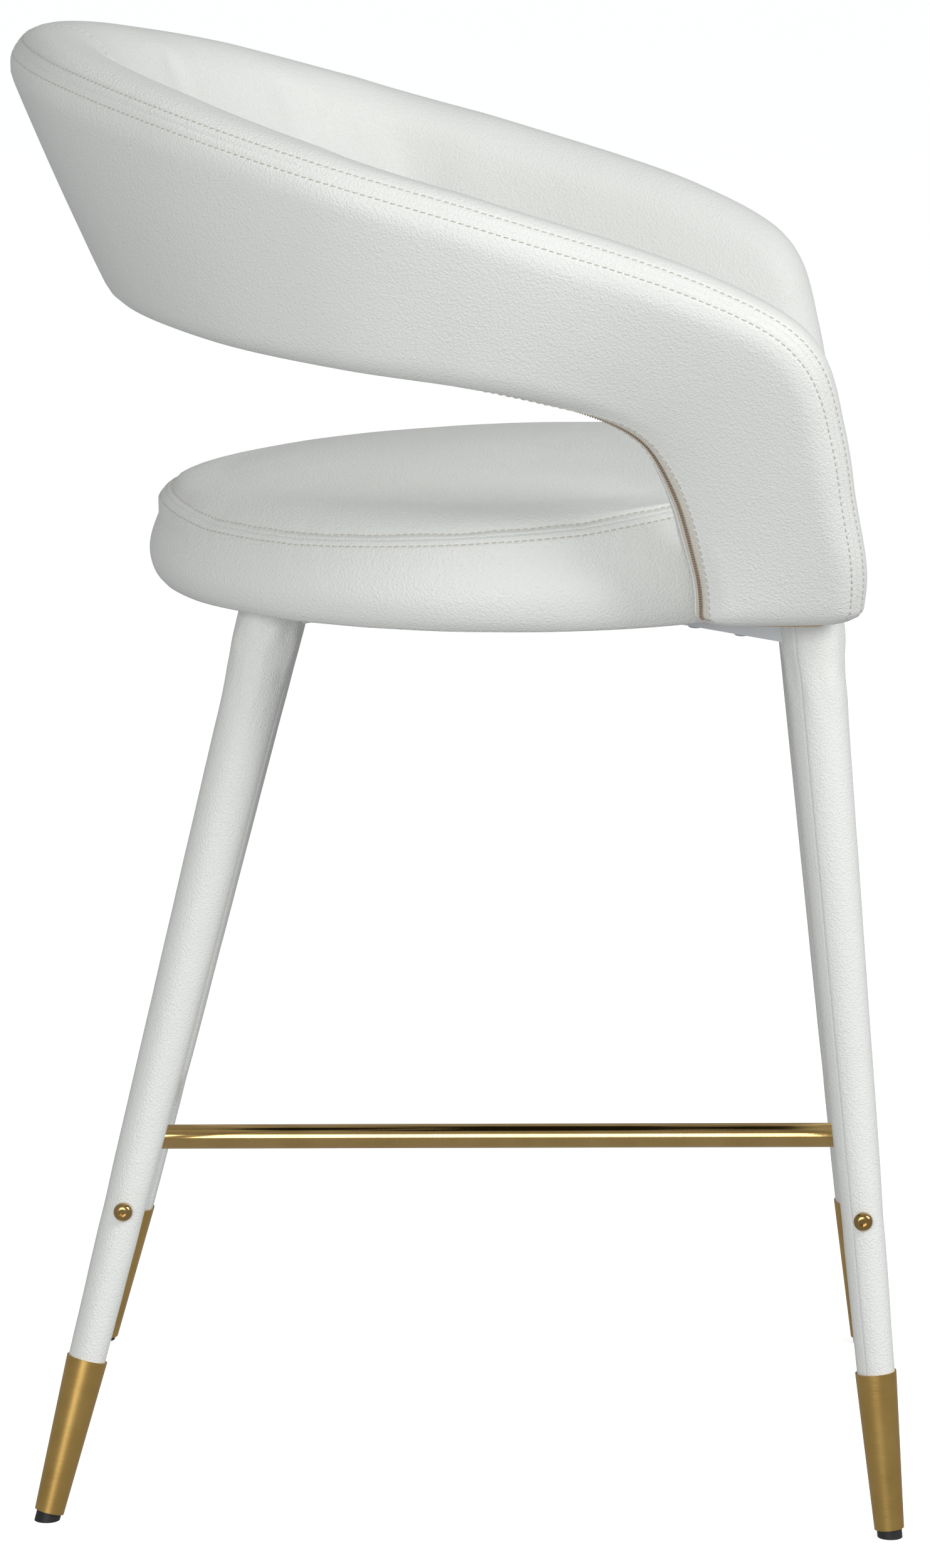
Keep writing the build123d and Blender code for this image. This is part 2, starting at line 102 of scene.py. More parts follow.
# side wall below the seam: distance inside the outline, height
SEAT_WALL = ((6.0, 0.80), (2.2, 0.62), (0.0, 0.44), (0.4, 0.28), (3.0, 0.13), (8.0, 0.02))
SEAT_BOTTOM = 570.2
SEAT_STITCH_ROW = 5            # rows of stitches from the seat's seam

UNDERSIDE = 575.4
LEG_FEET = {"front": (211.5, -274.0), "rear": (198.3, 254.3)}
LEG_SLOPES = {"front": (-0.068, 0.0987), "rear": (-0.1364, -0.2449)}
WRAP_JOINT_FACES = {"front": (0.84, 0.54), "rear": (-0.6, -0.8)}     # outwards, towards the rear
WRAP_START = 101.0
WRAP_RADII = (11.8, 18.7)
WRAP_RADII_AT = (105.5, 570.0)
SLACK_START, SLACK_LENGTH = 505.0, 65.0         # where a sleeve creases under the board
FLARE_START, FLARE_LENGTH, FLARE = 540.0, 35.0, 1.5
FERRULE_TOP, FERRULE_BORE_RADIUS = 107.5, 11.9  # below this a sleeve stays this slim
FOOTREST_AT = 204.5
BAR_RADIUS = 8.0

STITCH_PITCH = 4.6
STITCH_LENGTH = 3.5
THREAD_RADIUS = 0.42


# ---------------------------------------------------------------- small tools
def unit(v):
    return v / np.maximum(np.linalg.norm(v, axis=-1, keepdims=True), 1e-12)


def smooth_step(x):
    x = np.clip(x, 0.0, 1.0)
    return x * x * (3 - 2 * x)


def spline(knots, values, at):
    """Smooth curve through values at the knots (Catmull-Rom tangents), read at the places given."""
    knots, values, at = np.asarray(knots, float), np.asarray(values, float), np.asarray(at, float)
    steps = np.diff(knots)[:, None]
    chords = np.diff(values, axis=0) / steps
    inner = (chords[:-1] * steps[1:] + chords[1:] * steps[:-1]) / (steps[:-1] + steps[1:])
    tangents = np.vstack([chords[:1], inner, chords[-1:]])
    k = np.clip(np.searchsorted(knots, at, side="right") - 1, 0, len(knots) - 2)
    h = steps[k]
    t = ((at - knots[k])[:, None]) / h
    return (
        (2 * t**3 - 3 * t**2 + 1) * values[k]
        + (t**3 - 2 * t**2 + t) * h * tangents[k]
        + (3 * t**2 - 2 * t**3) * values[k + 1]
        + (t**3 - t**2) * h * tangents[k + 1]
    )


def grid_noise(points, scale, seed, octaves=2):
    """Repeatable noise, about -1 to 1, at every point (millimetres)."""
    flat = np.asarray(points, float).reshape(-1, 3) / scale
    shift = Vector((seed * 17.3, seed * 5.1, seed * 9.7))
    values = [noise.fractal(Vector(p) + shift, 1.0, 2.0, octaves) for p in flat]
    return np.array(values).reshape(np.asarray(points).shape[:-1])


def new_mesh(name, verts, faces, material):
    mesh = bpy.data.meshes.new(name)
    mesh.from_pydata((np.asarray(verts, float) * MM).tolist(), [], [list(map(int, f)) for f in faces])
    mesh.materials.append(material)
    shell = bmesh.new()
    shell.from_mesh(mesh)
    bmesh.ops.recalc_face_normals(shell, faces=shell.faces)
    shell.to_mesh(mesh)
    shell.free()
    for polygon in mesh.polygons:
        polygon.use_smooth = True
    mesh.update()
    piece = bpy.data.objects.new(name, mesh)
    bpy.context.collection.objects.link(piece)
    return piece


def keep(piece, slot, *nodes):
    """Ties a finished piece to the frame."""
    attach(piece, BODY)
    if nodes:
        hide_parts(*nodes)


def grid_faces(rows, columns):
    """Quads of a grid whose rows run round a loop."""
    faces = []
    for i in range(rows - 1):
        for j in range(columns):
            k = (j + 1) % columns
            faces.append((i * columns + j, i * columns + k, (i + 1) * columns + k, (i + 1) * columns + j))
    return faces


def end_caps(rows, columns):
    """The two faces that close such a grid at its first and last row."""
    return [tuple(range(columns))[::-1], tuple(range((rows - 1) * columns, rows * columns))]


def add_part(verts, faces, part):
    """Adds one more part, its vertices and faces, to the lists of a mesh."""
    part_verts, part_faces = part
    faces += [[k + len(verts) for k in face] for face in part_faces]
    verts += list(part_verts)


def grid_normals(grid):
    """Unit normals of a grid of points: rows along, columns round."""
    along = np.gradient(grid, axis=0)
    around = np.roll(grid, -1, axis=1) - np.roll(grid, 1, axis=1)
    return unit(np.cross(around, along))


CLOTH_FRAMES = 20


def puff(name, grid, pinned, pressure, cap, growth):
    """Cloth simulation of a closed grid, blown up against its pinned seams.

    Returns how far every point moved, in millimetres, held to the cap.
    """
    rows, columns = grid.shape[:2]
    faces = grid_faces(rows, columns) + end_caps(rows, columns)
    cloth = new_mesh(name, grid.reshape(-1, 3), faces, None)
    group = cloth.vertex_groups.new(name="seams")
    group.add(np.flatnonzero(pinned.ravel()).tolist(), 1.0, "REPLACE")
    modifier = cloth.modifiers.new("Cloth", "CLOTH")
    settings = modifier.settings
    settings.quality = 6
    settings.mass = 0.25
    settings.tension_stiffness = settings.compression_stiffness = 18
    settings.shear_stiffness = 8
    settings.bending_stiffness = 6.0
    settings.use_pressure = True
    settings.uniform_pressure_force = pressure
    settings.shrink_min = settings.shrink_max = -growth
    settings.vertex_group_mass = "seams"
    settings.effector_weights.gravity = 0
    modifier.collision_settings.use_collision = False
    modifier.point_cache.frame_end = CLOTH_FRAMES
    for number in range(1, CLOTH_FRAMES + 1):
        bpy.context.scene.frame_set(number)
    shaped = cloth.evaluated_get(bpy.context.evaluated_depsgraph_get()).data
    points = np.empty(len(shaped.vertices) * 3)
    shaped.vertices.foreach_get("co", points)
    bpy.data.objects.remove(cloth)
    bpy.context.scene.frame_set(1)
    moved = points.reshape(grid.shape) / MM - grid
    size = np.linalg.norm(moved, axis=-1, keepdims=True)
    return moved * (cap * np.tanh(size / cap) / np.maximum(size, 1e-9))


def stitch_row(points, normals, verts, faces):
    """Adds a row of sewn stitches along a line that lies on a surface."""
    steps = np.linalg.norm(np.diff(points, axis=0), axis=1)
    run = np.concatenate([[0], np.cumsum(steps)])
    count = int(run[-1] / STITCH_PITCH)
    centres = (np.arange(count) + 0.5) * run[-1] / count
    at = lambda s, line: np.array([np.interp(s, run, line[:, k]) for k in range(3)]).T
    middle, normal = at(centres, points), unit(at(centres, normals))
    ahead = unit(at(centres + 1, points) - at(centres - 1, points))
    side = unit(np.cross(normal, ahead))
    # (place along, radius, lift): the thread dives into the leather at both ends
    rings = ((-1.0, 0.35, -0.45), (-0.72, 0.95, 0.12), (0, 1.0, 0.42),
             (0.72, 0.95, 0.12), (1.0, 0.35, -0.45))
    sides = 6
    for m, n, a, s in zip(middle, normal, ahead, side):
        first = len(verts)
        slant = a + s * 0.10
        for place, radius, lift in rings:
            centre = m + slant * place * STITCH_LENGTH / 2 + n * lift * THREAD_RADIUS * 1.2
            for q in range(sides):
                angle = math.tau * q / sides
                verts.append(centre + (s * math.cos(angle) + n * math.sin(angle)) * radius * THREAD_RADIUS)
        for r in range(len(rings) - 1):
            for q in range(sides):
                t = (q + 1) % sides
                faces.append((first + r * sides + q, first + r * sides + t,
                              first + (r + 1) * sides + t, first + (r + 1) * sides + q))
        faces.append([first + q for q in range(sides)][::-1])
        faces.append([first + (len(rings) - 1) * sides + q for q in range(sides)])


def tube_along(points, radius, sides):
    """Vertices and faces of a round thread or rod along a line of points."""
    points = np.asarray(points, float)
    ahead = unit(np.gradient(points, axis=0))
    reference = np.where(np.abs(ahead[:, 2:3]) > 0.9, [[1.0, 0, 0]], [[0, 0, 1.0]])
    side = unit(np.cross(ahead, reference))
    up = np.cross(side, ahead)
    angles = np.arange(sides) * math.tau / sides
    ring = side[:, None] * np.cos(angles)[None, :, None] + up[:, None] * np.sin(angles)[None, :, None]
    radii = np.broadcast_to(np.asarray(radius, float).reshape(-1, 1, 1), (len(points), 1, 1))
    verts = (points[:, None] + ring * radii).reshape(-1, 3)
    return verts, grid_faces(len(points), sides) + end_caps(len(points), sides)


# ---------------------------------------------------------------- materials
class Look:
    """A node material with a Principled shader and short helpers for its texture nodes."""

    def __init__(self, name, **values):
        self.material = bpy.data.materials.new(name)
        self.material.use_nodes = True
        self.tree = self.material.node_tree
        self.shader = self.tree.nodes["Principled BSDF"]
        for key, value in values.items():
            self.shader.inputs[key.replace("_", " ")].default_value = value
        self.place = self.node("ShaderNodeTexCoord").outputs["Object"]
        self.bumps = None

    def node(self, kind, **settings):
        made = self.tree.nodes.new(kind)
        for key, value in settings.items():
            if key in made.inputs:
                made.inputs[key].default_value = value
            else:
                setattr(made, key, value)
        return made

    def link(self, out, socket):
        self.tree.links.new(out, socket)

    def stretched(self, scale):
        mapping = self.node("ShaderNodeMapping")
        self.link(self.place, mapping.inputs["Vector"])
        mapping.inputs["Scale"].default_value = scale
        return mapping.outputs["Vector"]

    def noise(self, scale, detail=3.0, roughness=0.5, place=None):
        made = self.node("ShaderNodeTexNoise", Scale=scale, Detail=detail, Roughness=roughness)
        self.link(place or self.place, made.inputs["Vector"])
        return made.outputs["Fac"]

    def cells(self, scale, feature):
        made = self.node("ShaderNodeTexVoronoi", feature=feature, Scale=scale)
        self.link(self.place, made.inputs["Vector"])
        return made.outputs["Distance"]

    def wave(self, scale, direction, distortion=0.0):
        made = self.node("ShaderNodeTexWave", bands_direction=direction, Scale=scale, Distortion=distortion)
        self.link(self.place, made.inputs["Vector"])
        return made.outputs["Fac"]

    def ramp(self, fac, stops):
        made = self.node("ShaderNodeValToRGB")
        elements = made.color_ramp.elements
        while len(elements) < len(stops):
            elements.new(0.5)
        for element, (position, colour) in zip(elements, stops):
            element.position = position
            element.color = (*colour, 1.0)
        self.link(fac, made.inputs["Fac"])
        return made.outputs["Color"]

    def span(self, fac, low, high):
        made = self.node("ShaderNodeMapRange")
        made.inputs["To Min"].default_value = low
        made.inputs["To Max"].default_value = high
        self.link(fac, made.inputs["Value"])
        return made.outputs["Result"]

    def colour(self, fac, low, high, edges=(0.3, 0.7)):
        self.link(self.ramp(fac, ((edges[0], low), (edges[1], high))), self.shader.inputs["Base Color"])

    def roughness(self, fac, low, high):
        self.link(self.span(fac, low, high), self.shader.inputs["Roughness"])

    def bump(self, fac, height, strength=1.0):
        """Adds a bump of the given height in metres on top of the ones before it."""
        made = self.node("ShaderNodeBump", Strength=strength, Distance=height)
        self.link(fac, made.inputs["Height"])
        if self.bumps is not None:
            self.link(self.bumps, made.inputs["Normal"])
        self.bumps = made.outputs["Normal"]
        self.link(self.bumps, self.shader.inputs["Normal"])


def leather(name, light, dark, pebble):
    look = Look(name, IOR=1.47, Specular_IOR_Level=0.42, Sheen_Weight=0.04, Sheen_Roughness=0.5)
    soil = look.noise(6.0, 4.0)
    look.colour(soil, dark, light, (0.25, 0.75))
    look.roughness(look.noise(90.0, 3.0), 0.40, 0.56)
    look.bump(look.noise(28.0, 5.0, 0.6), 0.0011, 0.35)
    look.bump(look.cells(pebble * 0.33, "DISTANCE_TO_EDGE"), 0.0007, 0.40)
    look.bump(look.cells(pebble, "SMOOTH_F1"), 0.0006, 0.65)
    look.bump(look.noise(1900.0, 2.0), 0.0001, 0.5)
    return look.material


def cloth_weave(name, light, dark, threads, roughness):
    look = Look(name, Roughness=roughness, Sheen_Weight=0.15, Sheen_Roughness=0.6, Specular_IOR_Level=0.3)
    look.colour(look.noise(700.0, 3.0), dark, light)
    look.bump(look.wave(threads, "Z", 0.6), 0.00025, 0.7)
    look.bump(look.wave(threads, "DIAGONAL", 0.6), 0.00015, 0.5)
    return look.material


def metal(name, light, dark, rough, grain, depth):
    """Metal with a directional grain: grain is the noise scale along x, y and z."""
    look = Look(name, Metallic=1.0)
    lines = look.noise(1.0, 2.0, 0.5, look.stretched(grain))
    look.colour(look.noise(40.0, 4.0), dark, light)
    look.roughness(lines, *rough)
    look.bump(lines, depth, 0.5)
    return look.material


def coated(name, light, dark, rough, grain, depth, coat=0.0):
    look = Look(name, Coat_Weight=coat, Coat_Roughness=0.2, Specular_IOR_Level=0.45)
    look.colour(look.noise(12.0, 4.0), dark, light)
    look.roughness(look.noise(60.0, 2.0), *rough)
    look.bump(look.noise(grain, 2.0), depth, 0.5)
    return look.material


def plywood():
    look = Look("plywood", Specular_IOR_Level=0.35)
    veins = look.noise(1.0, 6.0, 0.6, look.stretched((14.0, 220.0, 40.0)))
    look.colour(veins, (0.42, 0.25, 0.11), (0.62, 0.43, 0.24))
    plies = look.wave(110.0, "Z")
    look.roughness(veins, 0.5, 0.7)
    look.bump(plies, 0.0001, 0.4)
    look.bump(veins, 0.0002, 0.5)
    return look.material


LEATHER = leather("white_leather", (0.815, 0.825, 0.80), (0.775, 0.785, 0.755), 900.0)
WRAP_LEATHER = leather("wrap_leather", (0.815, 0.825, 0.80), (0.775, 0.785, 0.755), 1100.0)
THREAD = cloth_weave("thread", (0.78, 0.74, 0.67), (0.66, 0.62, 0.54), 900.0, 0.6)
ZIP_TAPE = cloth_weave("zip_tape", (0.80, 0.77, 0.69), (0.70, 0.67, 0.59), 420.0, 0.85)
ZIP_COIL = coated("zip_coil", (0.42, 0.31, 0.21), (0.30, 0.21, 0.14), (0.35, 0.5), 800.0, 0.0001)
SATIN_GOLD = metal(
    "satin_gold", (0.66, 0.43, 0.14), (0.56, 0.355, 0.105), (0.24, 0.44), (90, 90, 2600), 0.00006)
POLISHED_GOLD = metal(
    "polished_gold", (0.66, 0.45, 0.18), (0.58, 0.38, 0.14), (0.07, 0.16), (30, 900, 900), 0.00001)
DARK_GOLD = metal(
    "dark_gold", (0.50, 0.33, 0.13), (0.38, 0.24, 0.09), (0.12, 0.25), (400, 400, 400), 0.00002)
ZINC = metal(
    "zinc", (0.72, 0.73, 0.75), (0.58, 0.59, 0.62), (0.18, 0.36), (500, 500, 500), 0.00003)
TUBE_STEEL = coated(
    "tube_steel", (0.07, 0.07, 0.075), (0.045, 0.045, 0.05), (0.4, 0.6), 700.0, 0.0001)
POWDER = coated(
    "white_powder_coat", (0.80, 0.82, 0.84), (0.74, 0.76, 0.78), (0.32, 0.46), 1500.0, 0.00012, 0.1)
BLACK_PLASTIC = coated(
    "black_plastic", (0.022, 0.022, 0.023), (0.012, 0.012, 0.013), (0.38, 0.6), 900.0, 0.00008)
NONWOVEN = cloth_weave("nonwoven", (0.030, 0.030, 0.032), (0.014, 0.014, 0.015), 260.0, 0.95)
PLYWOOD = plywood()

NODE_LOOKS = {
    "seat_board": PLYWOOD,
    "back_arm_core": PLYWOOD,
    "dust_cover": NONWOVEN,
    "footrest_bolts": DARK_GOLD,
    "footrest_front_bar": POLISHED_GOLD,
    "footrest_rear_bar": POLISHED_GOLD,
    "footrest_centre_bar": POLISHED_GOLD,
}
PREFIX_LOOKS = {"ferrule": SATIN_GOLD, "glide": BLACK_PLASTIC, "leg_bracket": POWDER, "leg_tube": TUBE_STEEL}
for name, node in NODES.items():
    look = NODE_LOOKS.get(name)
    for prefix, prefix_look in PREFIX_LOOKS.items():
        if name.startswith(prefix):
            look = prefix_look
    for piece_slot in node.material_slots:
        piece_slot.material = look or ZINC


# ---------------------------------------------------------------- the band: back and both arms
def rounded_section(corners, rounds):
    """Closed outline of a corner list with rounded corners: 2-D points, corner arcs in equal steps."""
    outline = []
    for k, radius in enumerate(rounds):
        corner = corners[k]
        before, after = unit(corners[k - 1] - corner), unit(corners[(k + 1) % 4] - corner)
        half = math.acos(np.clip(before @ after, -1, 1)) / 2
        middle = corner + unit(before + after) * radius / math.sin(half)
        start, end = corner + before * radius / math.tan(half), corner + after * radius / math.tan(half)
        for t in np.linspace(0, 1, ARC_STEPS + 1):
            turn = unit((start - middle) * (1 - t) + (end - middle) * t)
            outline.append(middle + turn * radius)
    return np.array(outline)


ARC_STEPS = 8


def front_share(place):
    """1 where the band turns down at the front of an arm, 0 along the back and at the foot."""
    low, high = FRONT_TURN
    return smooth_step((abs(place) - low) / 1.6) * smooth_step((high - abs(place)) / 1.5)


def band_rings(places):
    """Analytic outline rings of the band at station places from -11 to 11 (negative: left side)."""
    knots = np.arange(len(BAND_STATIONS), dtype=float)
    table = np.array([(*top, *bottom, thickness) for top, bottom, thickness in BAND_STATIONS], float)
    mirrored = table[:0:-1] * np.array([-1, 1, 1, -1, 1, 1, 1])
    whole, span = np.vstack([mirrored, table]), np.concatenate([-knots[:0:-1], knots])
    values = spline(span, whole, places)
    middles = (values[:, 0:3] + values[:, 3:6]) / 2
    along = unit(np.gradient(middles, axis=0))
    last = len(BAND_STATIONS) - 1
    ends = np.concatenate([[0.0], np.cumsum(np.linalg.norm(np.diff(middles, axis=0), axis=1))])
    to_end = np.minimum(ends, ends[-1] - ends)
    rings = []
    for place, value, ahead, left in zip(places, values, along, to_end):
        top, bottom, thickness = value[0:3], value[3:6], value[6]
        inward = np.cross(top - bottom, ahead)
        inward = unit(np.array([inward[0], inward[1], 0.0]))
        if inward[:2] @ (np.array(SEAT_CENTRE) - top[:2]) < 0:
            inward = -inward
        inward = unit(inward + np.array([0, FRONT_EASE * front_share(place), 0]))
        rise = np.linalg.norm(top - bottom)
        up = (top - bottom) / rise
        skew = inward @ up
        square_up = unit(up - inward * skew)
        corners = np.array([[0, 0], [thickness, 0], [thickness + rise * skew, 0], [rise * skew, 0]], float)
        corners[2:, 1] = rise * (up @ square_up)
        outline = rounded_section(corners, BAND_ROUNDS)
        inset = BAND_END_ROUND - math.sqrt(max(BAND_END_ROUND**2 - max(BAND_END_ROUND - left, 0) ** 2, 0))
        centre = outline.mean(axis=0)
        outline = centre + (outline - centre) * (1 - 2 * inset / thickness)
        rings.append(bottom + outline[:, :1] * inward + outline[:, 1:] * square_up)
    return np.array(rings), ends


def ring_reader(ring, start):
    """Function of arc length round a closed ring, from the given outline index."""
    loop = np.vstack([ring[start:], ring[:start], ring[start:start + 1]])
    run = np.concatenate([[0], np.cumsum(np.linalg.norm(np.diff(loop, axis=0), axis=1))])
    total = run[-1]

    def read(s):
        s = np.mod(s, total)
        return np.array([np.interp(s, run, loop[:, k]) for k in range(3)]).T

    return read, total, run


SEAM_INDEX = 3 * (ARC_STEPS + 1) + ARC_STEPS // 2       # middle of the outer top corner
BOTTOM_OUTER = ARC_STEPS // 2
BOTTOM_INNER = ARC_STEPS + 1 + ARC_STEPS // 2


def zip_share(place):
    """0 where the zip runs under the band, ZIP_REACH where it has come round towards the corner."""
    return ZIP_REACH * smooth_step((abs(place) - ZIP_TURN[0]) / (ZIP_TURN[1] - ZIP_TURN[0]))


def band_columns(total, zip_at, offsets, zip_offsets, inner, outer):
    """Arc-length places round a ring: close together at the seam and at the zip."""
    first, last = offsets[offsets > 0][-1], offsets[offsets < 0][0]
    low, high = zip_at + zip_offsets[0], zip_at + zip_offsets[-1]
    return np.concatenate([
        offsets[offsets >= 0],
        first + (low - first) * np.arange(1, inner) / inner,
        zip_at + zip_offsets,
        high + (total + last - high) * np.arange(1, outer) / outer,
        total + offsets[offsets < 0],
    ])


def wrapped_spline(knots, values, at, period):
    """Spline round a closed loop of the given length."""
    low, high = slice(-3, None), slice(0, 3)
    all_knots = np.concatenate([knots[low] - period, knots, knots[high] + period])
    return spline(all_knots, np.vstack([values[low], values, values[high]]), at)


def places_every(step, close_to_middle=()):
    """Station places at equal steps of length, closer at the rounded ends and at the middle seam."""
    total = BAND_RUN[-1]
    lengths = np.linspace(0, total, round(total / step) + 1)
    tip = BAND_END_ROUND * np.array([0.06, 0.2, 0.45, 0.8])
    lengths = np.concatenate([lengths, tip, total - tip])
    if len(close_to_middle):
        near = np.abs(lengths - total / 2) < max(close_to_middle) * 1.15
        lengths = np.concatenate([lengths[~near], total / 2 + np.asarray(close_to_middle)])
    lengths = np.sort(lengths)
    return np.interp(lengths, BAND_RUN, DENSE_PLACES), lengths


def band_grid(places, offsets, zip_offsets, face, lining):
    """Grid of points on the analytic band, with each ring's arc lengths and period."""
    rings, _ = band_rings(places)
    grid, arcs, periods = [], [], []
    for place, ring in zip(places, rings):
        read, total, run = ring_reader(ring, SEAM_INDEX)
        at_index = lambda index: run[(index - SEAM_INDEX) % len(ring)]
        corner, inner_corner = at_index(BOTTOM_OUTER), at_index(BOTTOM_INNER)
        share = zip_share(place)
        zip_at = (corner + inner_corner) / 2 * (1 - share) + corner * share
        columns = band_columns(total, zip_at, offsets, zip_offsets, face, lining)
        grid.append(read(columns))
        arcs.append(columns)
        periods.append(total)
    return np.array(grid), np.array(arcs), np.array(periods)


def seam_profile(distance, row):
    """Height of the leather near a sewn seam with a row of stitches on each side."""
    d = np.abs(distance)
    groove = -0.6 * np.exp(-((d / 0.7) ** 2))
    allowance = 0.18 * np.exp(-(((d - row / 2) / 1.7) ** 2))
    pulled = -0.38 * np.exp(-(((d - row) / 1.1) ** 2))
    return groove + allowance + pulled


SEAM_OFFSETS = np.array([-11, -8.6, -7.2, -6.4, -5.6, -4.8, -4, -2.6, -1.3, -0.6, 0,
                         0.6, 1.3, 2.6, 4, 4.8, 5.6, 6.4, 7.2, 8.6, 11])
ZIP_OFFSETS = np.array([-13, -10, -8.4, -7.6, -6.9, -6.3, -5.6, -4.6, -3, -1.5, 0,
                        1.5, 3, 4.6, 5.6, 6.3, 6.9, 7.6, 8.4, 10, 13])
FACE_COLUMNS, LINING_COLUMNS = 30, 52
ZIP_ROW = 7.6
BACK_SEAM_ROW = 4.0
DENSE_PLACES = np.linspace(1 - len(BAND_STATIONS), len(BAND_STATIONS) - 1, 601)
BAND_RUN = band_rings(DENSE_PLACES)[1]

# coarse grid for the cloth simulation
COARSE_FACE_COLUMNS, COARSE_LINING_COLUMNS = 15, 28
coarse_places = places_every(8.5)[0]
coarse_seam = np.array([-5.6, 0.0, 5.6])
coarse_zip = np.array([-8.0, 0.0, 8.0])
coarse, coarse_arcs, _ = band_grid(
    coarse_places, coarse_seam, coarse_zip, COARSE_FACE_COLUMNS, COARSE_LINING_COLUMNS)
coarse_zip_first = int(np.sum(coarse_seam >= 0)) + COARSE_FACE_COLUMNS - 1
pinned = np.zeros(coarse.shape[:2], bool)
pinned[:, 0] = True
# the zip's middle, its inner side and the first column of the lining
pinned[:, coarse_zip_first + 1:coarse_zip_first + 4] = True
pinned[:5] = pinned[-5:] = True
pinned[np.argmin(np.abs(coarse_places)), coarse_zip_first + 4:] = True
moved = puff("band_cloth", coarse, pinned, pressure=1.6, cap=1.2, growth=0.001)

# fine grid
fine_places, fine_lengths = places_every(4.4, SEAM_OFFSETS)
band, arcs, periods = band_grid(fine_places, SEAM_OFFSETS, ZIP_OFFSETS, FACE_COLUMNS, LINING_COLUMNS)
carried = spline(coarse_places, moved.reshape(len(coarse_places), -1), fine_places)
carried = carried.reshape(-1, *moved.shape[1:])
coarse_knots = spline(coarse_places, coarse_arcs, fine_places)
for i in range(len(band)):
    band[i] += wrapped_spline(coarse_knots[i], carried[i], arcs[i], periods[i])

columns = band.shape[1]
seam_columns = int(np.sum(SEAM_OFFSETS >= 0))
zip_first = seam_columns + FACE_COLUMNS - 1
zip_middle = zip_first + len(ZIP_OFFSETS) // 2
zip_last = zip_first + len(ZIP_OFFSETS) - 1
seam_distance = np.where(arcs > periods[:, None] / 2, arcs - periods[:, None], arcs)
zip_distance = arcs - arcs[:, zip_middle:zip_middle + 1]
back_distance = np.broadcast_to((fine_lengths - BAND_RUN[-1] / 2)[:, None], arcs.shape)
on_lining = np.zeros(columns, bool)
on_lining[zip_last + 1:] = True

face_share = np.clip(seam_distance / (arcs[:, zip_first:zip_first + 1]), 0, 1)
lining_span = periods[:, None] - arcs[:, zip_last:zip_last + 1]
lining_share = np.clip((arcs - arcs[:, zip_last:zip_last + 1]) / lining_span, 0, 1)
swell = PANEL_CROWN * np.sin(np.pi * face_share) ** 0.7
swell = np.where(on_lining, PANEL_CROWN * 0.3 * np.sin(np.pi * lining_share) ** 0.6, swell)
folds = grid_noise(band * np.array([1, 1, 1.7]), 80.0, 3) * 0.10
pucker_places = np.stack([fine_lengths[:, None] + 0 * arcs, arcs * 0.28, 0 * arcs], axis=-1)
puckers = grid_noise(pucker_places, 6.5, 7)
near_seam = np.exp(-(((np.abs(seam_distance) - 7.5) / 6.0) ** 2)) + 0.9 * np.exp(
    -(((np.abs(zip_distance) - 10.5) / 5.0) ** 2))
puckers = puckers * near_seam * 0.20
height = swell + folds + puckers + seam_profile(seam_distance, SEAM_ROW)
back_seam = seam_profile(back_distance, BACK_SEAM_ROW)
height = height + np.where(on_lining, back_seam * smooth_step(np.abs(seam_distance) / 6.0), 0.0)
zip_bed = -1.3 * smooth_step((6.6 - np.abs(zip_distance)) / 1.2)
zip_fold = 0.5 * np.exp(-(((np.abs(zip_distance) - 7.0) / 0.8) ** 2))
end_fade = smooth_step(np.minimum(fine_lengths, BAND_RUN[-1] - fine_lengths) / 14.0)[:, None]
base_normals = grid_normals(band)
if np.sum(base_normals * (band - band.mean(axis=1, keepdims=True))) < 0:
    base_normals = -base_normals
zip_base = band
band = band + base_normals * (height + zip_bed + zip_fold)[..., None] * end_fade[..., None]

band_faces = grid_faces(*band.shape[:2]) + end_caps(*band.shape[:2])
pad = new_mesh("back_and_arm_cover", band.reshape(-1, 3), band_faces, LEATHER)
keep(pad, "white_leather", "back_arm_pad")

normals = grid_normals(band)
if np.sum(normals * base_normals) < 0:
    normals = -normals
column_of = lambda offset: int(np.flatnonzero(SEAM_OFFSETS[SEAM_OFFSETS >= 0] == offset)[0])
row_columns = [column_of(SEAM_ROW), columns - column_of(SEAM_ROW)]
zip_columns = [zip_first + int(np.flatnonzero(ZIP_OFFSETS == side * ZIP_ROW)[0]) for side in (-1, 1)]
verts, faces = [], []
for column in row_columns + zip_columns:
    stitch_row(band[3:-3, column], normals[3:-3, column], verts, faces)
for side in (-1, 1):
    ring = int(np.argmin(np.abs(back_distance[:, 0] - side * BACK_SEAM_ROW)))
    stitch_row(band[ring, zip_last + 4:-6], normals[ring, zip_last + 4:-6], verts, faces)
keep(new_mesh("band_stitches", verts, faces, THREAD), "white_leather")


# ---------------------------------------------------------------- zip
def strip(points, normals, lift, thickness):
    """Closed flat strip over a grid of points."""
    upper = points + normals * lift
    lower = points + normals * (lift - thickness)
    loop = np.concatenate([upper, lower[:, ::-1]], axis=1)
    return loop.reshape(-1, 3), grid_faces(*loop.shape[:2]) + end_caps(*loop.shape[:2])


zip_verts, zip_faces = [], []
for low, high in ((-6.3, -1.5), (1.5, 6.3)):
    chosen = [zip_first + int(k) for k in np.flatnonzero((ZIP_OFFSETS >= low) & (ZIP_OFFSETS <= high))]
    tape = strip(zip_base[4:-4][:, chosen], base_normals[4:-4][:, chosen], -0.3, 0.7)
    add_part(zip_verts, zip_faces, tape)
keep(new_mesh("zip_tapes", zip_verts, zip_faces, ZIP_TAPE), "cream_zip", "cover_zip")

